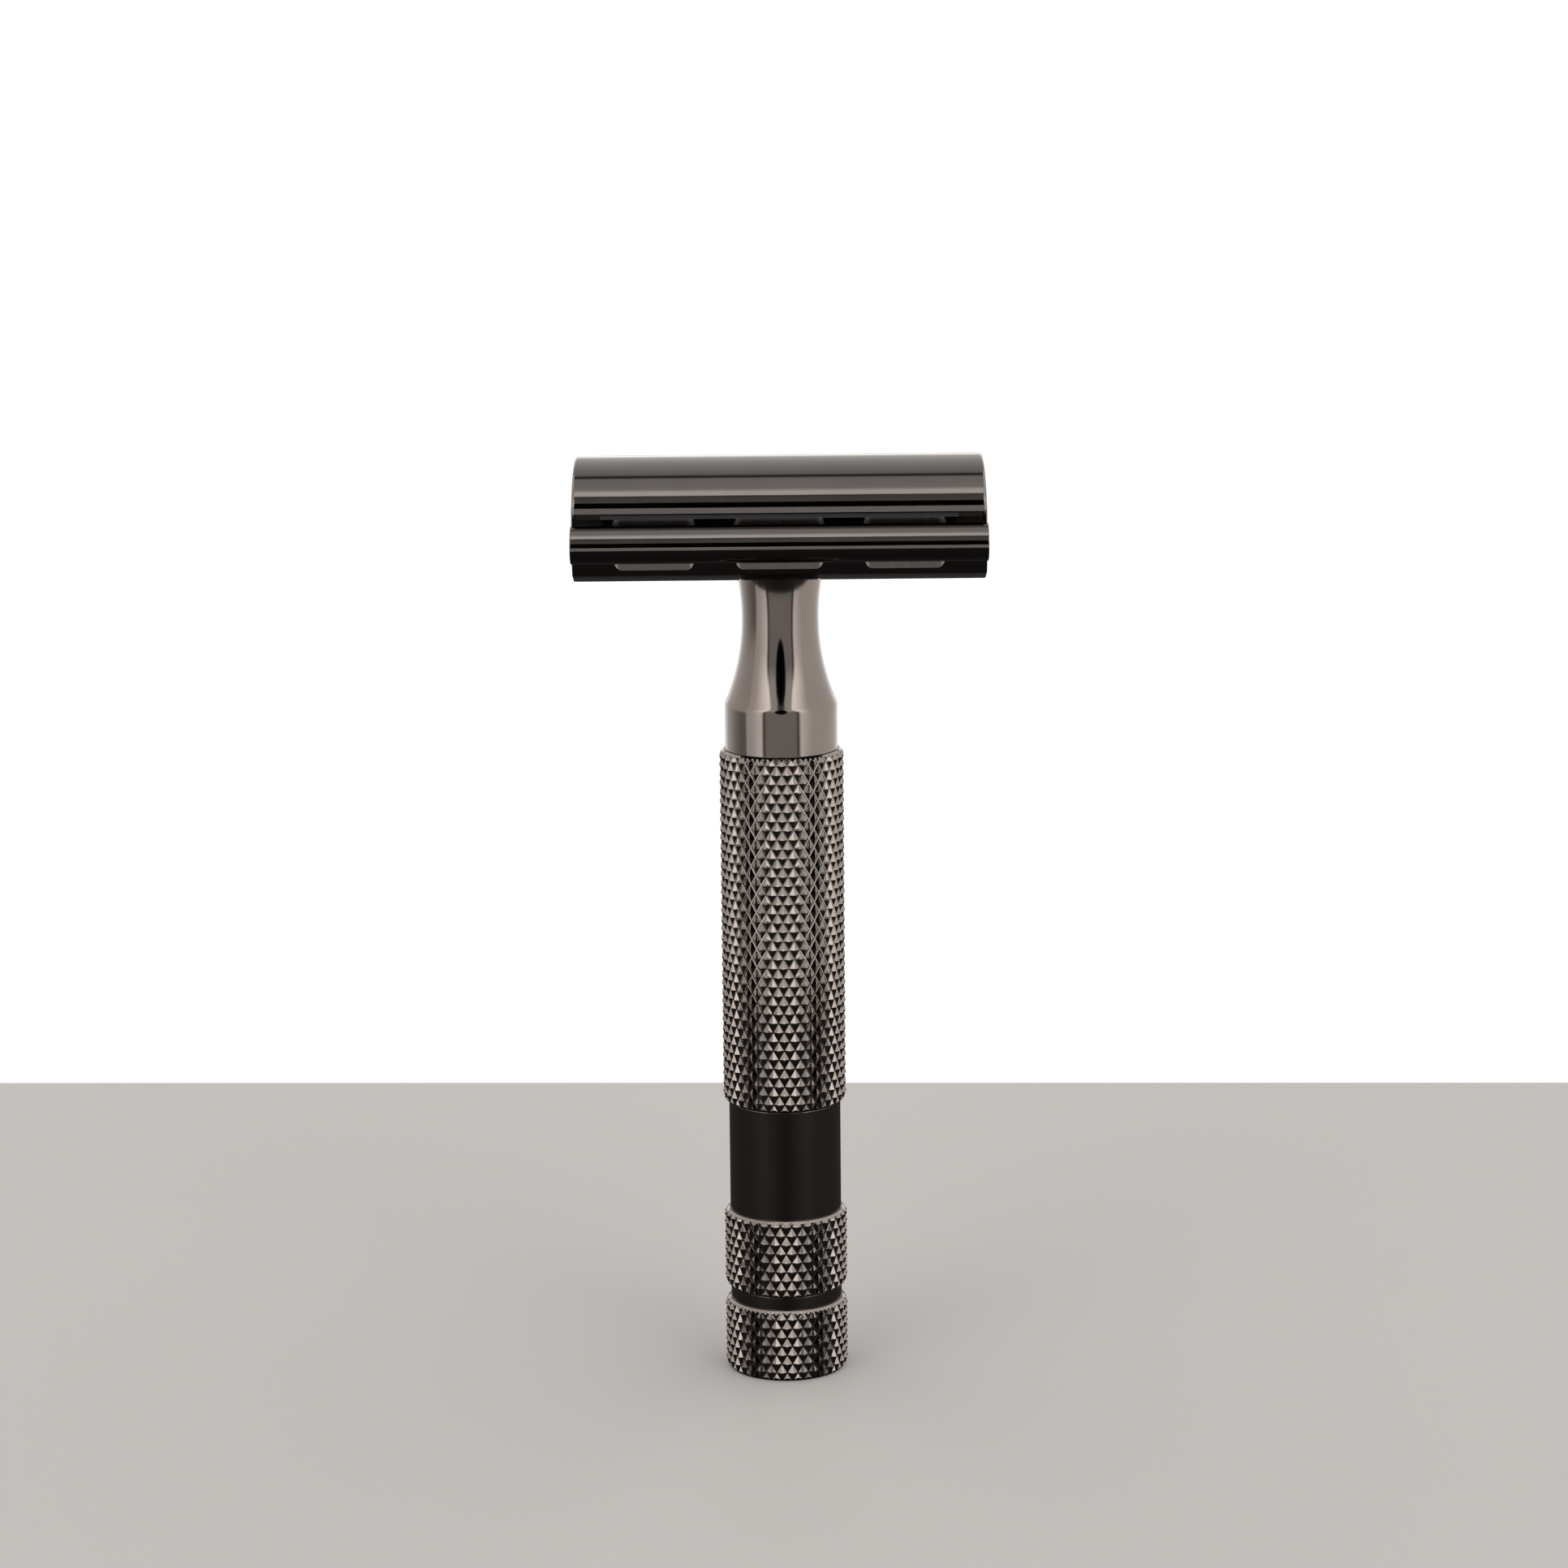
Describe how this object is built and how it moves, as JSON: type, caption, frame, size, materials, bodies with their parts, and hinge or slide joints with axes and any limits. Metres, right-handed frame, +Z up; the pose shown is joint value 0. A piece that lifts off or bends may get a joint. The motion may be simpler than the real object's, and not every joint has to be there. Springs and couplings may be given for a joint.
{
  "type": "safety razor",
  "caption": "Double-edge safety razor: domed cap, reversible plate with safety bars and drain slots, and a knurled metal handle that unscrews.",
  "frame": {"origin": "centre of the end knob's flat underside", "axes": "+Z up the handle towards the cap, +X along the head, +Y across the head towards one cutting edge"},
  "size_m": [0.0434, 0.027, 0.1005],
  "materials": {
    "polished_gunmetal": "polished dark gunmetal plating",
    "knurled_gunmetal": "knurled, dark gunmetal plating",
    "bare_steel": "turned steel",
    "blade_steel": "rolled blade steel with ground edges"
  },
  "bodies": {
    "handle": {"end_knob": "knurled_gunmetal", "ring_spacer": "polished_gunmetal", "grip_ring": "knurled_gunmetal", "band_sleeve": "polished_gunmetal", "grip_sleeve": "knurled_gunmetal", "core_rod": "bare_steel", "neck": "polished_gunmetal", "neck_insert": "bare_steel"},
    "plate": {"base_plate": "polished_gunmetal"},
    "blade": {"blade": "blade_steel"},
    "cap": {"cap": "polished_gunmetal", "cap_stud": "bare_steel", "cap_pin_left": "bare_steel", "cap_pin_right": "bare_steel"}
  },
  "joints": [
    {"name": "head_turn", "type": "hinge", "parent": "handle", "child": "plate", "pos_m": [0, 0, 0.088], "axis": [0, 0, 1], "range_deg": [0, 3240]},
    {"name": "cap_rise", "type": "slide", "parent": "plate", "child": "cap", "axis": [0, 0, 1], "range_m": [0, 0.0073]},
    {"name": "blade_rise", "type": "slide", "parent": "plate", "child": "blade", "axis": [0, 0, 1], "range_m": [0, 0.0037]}
  ],
  "couplings": [
    {"joint": "cap_rise", "follows": "head_turn", "m_per_rad": 0.00012732},
    {"joint": "blade_rise", "follows": "head_turn", "m_per_rad": 0.000063662}
  ]
}
